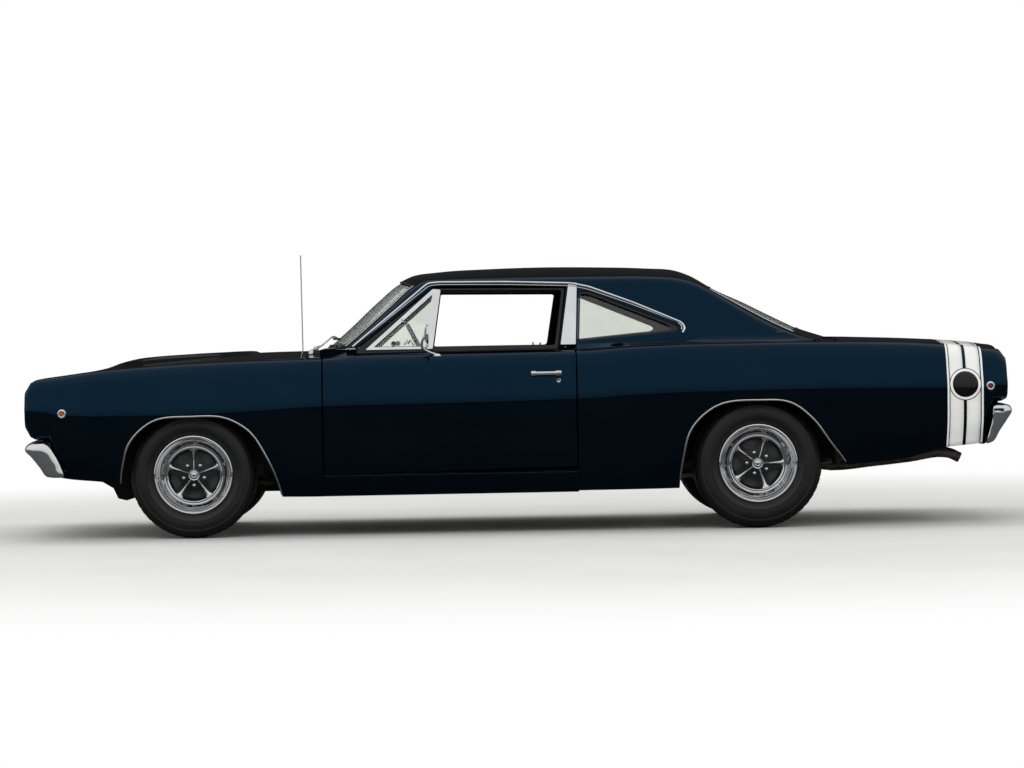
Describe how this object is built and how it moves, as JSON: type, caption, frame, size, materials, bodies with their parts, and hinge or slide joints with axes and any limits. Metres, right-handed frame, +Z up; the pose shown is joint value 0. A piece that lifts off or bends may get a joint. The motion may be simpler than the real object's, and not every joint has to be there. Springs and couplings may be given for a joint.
{
  "type": "muscle car",
  "caption": "Coupe with a long hood, opening doors, hood and trunk lid, steered front wheels and rolling road wheels.",
  "frame": {"origin": "on the ground under the middle of the car's bounding box", "axes": "-X towards the nose, -Y towards the driver's side (the car's left), +Z up"},
  "size_m": [5.262, 1.944, 1.5165],
  "materials": {
    "black_paint": "gloss black enamel",
    "chrome": "polished",
    "tyre_rubber": "matt",
    "underbody_black": "matt black undercoat",
    "glass": "clear, slightly tinted",
    "vinyl": "grained vinyl",
    "cast_iron": "painted rough",
    "steel_pipe": "dull",
    "lamp_red": "clear red",
    "lamp_clear": "fluted lens",
    "grille_black": "satin"
  },
  "bodies": {
    "body": {"roof": "black_paint", "windshield": "glass", "rear_window": "glass", "quarter_glass_left": "glass", "quarter_glass_right": "glass", "fender_left": "black_paint", "fender_right": "black_paint", "quarter_panel_left": "black_paint", "quarter_panel_right": "black_paint", "cowl": "black_paint", "underbody": "underbody_black", "engine_bay": "underbody_black", "front_bumper": "chrome", "rear_bumper": "chrome", "grille": "grille_black", "headlamps_left": "lamp_clear", "headlamps_right": "lamp_clear", "tail_panel": "black_paint", "tail_lamps": "lamp_red", "dashboard": "vinyl", "steering_wheel": "vinyl", "front_seat": "vinyl", "rear_seat": "vinyl", "engine": "cast_iron", "front_suspension": "underbody_black", "rear_axle": "cast_iron", "exhaust": "steel_pipe", "fuel_tank": "steel_pipe", "antenna": "chrome"},
    "hood": {"hood": "black_paint"},
    "trunk_lid": {"trunk_lid": "black_paint"},
    "door_left": {"door_left": "black_paint", "vent_glass_left": "glass"},
    "door_right": {"door_right": "black_paint", "vent_glass_right": "glass"},
    "knuckle_left": {"knuckle_left": "cast_iron"},
    "knuckle_right": {"knuckle_right": "cast_iron"},
    "wheel_front_left": {"rim_front_left": "chrome", "tyre_front_left": "tyre_rubber"},
    "wheel_front_right": {"rim_front_right": "chrome", "tyre_front_right": "tyre_rubber"},
    "wheel_rear_left": {"rim_rear_left": "chrome", "tyre_rear_left": "tyre_rubber"},
    "wheel_rear_right": {"rim_rear_right": "chrome", "tyre_rear_right": "tyre_rubber"}
  },
  "joints": [
    {"name": "door_left", "type": "hinge", "parent": "body", "child": "door_left", "pos_m": [-1.024, -0.96, 0.6], "axis": [0, 0, -1], "range_deg": [0, 62]},
    {"name": "door_right", "type": "hinge", "parent": "body", "child": "door_right", "pos_m": [-1.024, 0.96, 0.6], "axis": [0, 0, 1], "range_deg": [0, 62]},
    {"name": "hood", "type": "hinge", "parent": "body", "child": "hood", "pos_m": [-1.16, 0, 0.985], "axis": [0, 1, 0], "range_deg": [0, 50]},
    {"name": "trunk_lid", "type": "hinge", "parent": "body", "child": "trunk_lid", "pos_m": [1.715, 0, 1.005], "axis": [0, -1, 0], "range_deg": [0, 65]},
    {"name": "steer_left", "type": "hinge", "parent": "body", "child": "knuckle_left", "pos_m": [-1.72, -0.65, 0.334], "axis": [0, 0, 1], "range_deg": [-30, 30]},
    {"name": "steer_right", "type": "hinge", "parent": "body", "child": "knuckle_right", "pos_m": [-1.72, 0.65, 0.334], "axis": [0, 0, 1], "range_deg": [-30, 30]},
    {"name": "wheel_front_left", "type": "hinge", "parent": "knuckle_left", "child": "wheel_front_left", "pos_m": [-1.72, -0.755, 0.334], "axis": [0, -1, 0], "continuous": true},
    {"name": "wheel_front_right", "type": "hinge", "parent": "knuckle_right", "child": "wheel_front_right", "pos_m": [-1.72, 0.755, 0.334], "axis": [0, -1, 0], "continuous": true},
    {"name": "wheel_rear_left", "type": "hinge", "parent": "body", "child": "wheel_rear_left", "pos_m": [1.252, -0.755, 0.341], "axis": [0, -1, 0], "continuous": true},
    {"name": "wheel_rear_right", "type": "hinge", "parent": "body", "child": "wheel_rear_right", "pos_m": [1.252, 0.755, 0.341], "axis": [0, -1, 0], "continuous": true}
  ],
  "couplings": [
    {"joint": "steer_right", "follows": "steer_left", "ratio": 1}
  ]
}
